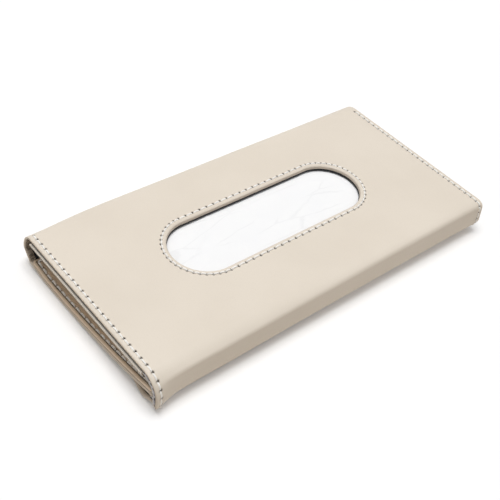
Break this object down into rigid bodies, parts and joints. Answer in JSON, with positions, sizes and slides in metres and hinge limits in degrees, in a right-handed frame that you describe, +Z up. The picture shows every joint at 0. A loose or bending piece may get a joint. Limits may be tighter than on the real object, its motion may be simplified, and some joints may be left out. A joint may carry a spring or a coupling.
{
  "type": "car tissue holder",
  "caption": "Flat folded leather holder for tissues, with an oval window in its top panel, stitched edges and a magnetic closing flap under its front fold.",
  "frame": {"origin": "under the middle of the holder, on the surface that it lies on", "axes": "+X along the holder's length towards the closed end of the pocket, +Y from the front fold to the rear fold, +Z up through the window"},
  "size_m": [0.24, 0.1233, 0.0213],
  "materials": {
    "beige_leather": "smooth pale beige imitation leather, satin",
    "inner_leather": "matt greyish beige imitation leather",
    "pocket_cloth": "thin pale sheet, matt",
    "dark_lining": "dark grey woven lining",
    "grey_board": "grey board",
    "tissue": "soft white paper",
    "cream_thread": "cream sewing thread",
    "nickel": "nickel plated magnet",
    "steel_plate": "thin steel sheet"
  },
  "bodies": {
    "top_panel": {"top_leather": "beige_leather", "top_board": "grey_board", "top_facing": "dark_lining", "window_thread": "cream_thread", "top_left_thread": "cream_thread", "top_right_thread": "cream_thread", "pocket_wall": "pocket_cloth", "tissue_stack": "tissue", "top_tissue": "tissue"},
    "front_spine": {"front_spine_leather": "beige_leather", "front_spine_lining": "dark_lining", "front_spine_left_thread": "cream_thread", "front_spine_right_thread": "cream_thread"},
    "closing_flap": {"flap_leather": "beige_leather", "flap_board": "grey_board", "flap_lining": "dark_lining", "flap_left_magnet": "nickel", "flap_right_magnet": "nickel", "flap_thread": "cream_thread"},
    "rear_spine": {"rear_spine_leather": "beige_leather", "rear_spine_lining": "dark_lining"},
    "back_panel": {"back_leather": "beige_leather", "back_board": "grey_board", "back_facing": "inner_leather", "back_thread": "cream_thread", "back_left_keeper": "steel_plate", "back_right_keeper": "steel_plate"}
  },
  "joints": [
    {"name": "front_spine_fold", "type": "hinge", "parent": "top_panel", "child": "front_spine", "pos_m": [0, -0.0579, 0.0174], "axis": [-1, 0, 0], "range_deg": [0, 90]},
    {"name": "flap_fold", "type": "hinge", "parent": "front_spine", "child": "closing_flap", "pos_m": [0, -0.05945, 0.00205], "axis": [-1, 0, 0], "range_deg": [0, 90]},
    {"name": "rear_spine_fold", "type": "hinge", "parent": "top_panel", "child": "rear_spine", "pos_m": [0, 0.05842, 0.01792], "axis": [1, 0, 0], "range_deg": [0, 90]},
    {"name": "back_fold", "type": "hinge", "parent": "rear_spine", "child": "back_panel", "pos_m": [0, 0.05842, 0.00308], "axis": [1, 0, 0], "range_deg": [0, 90]}
  ]
}
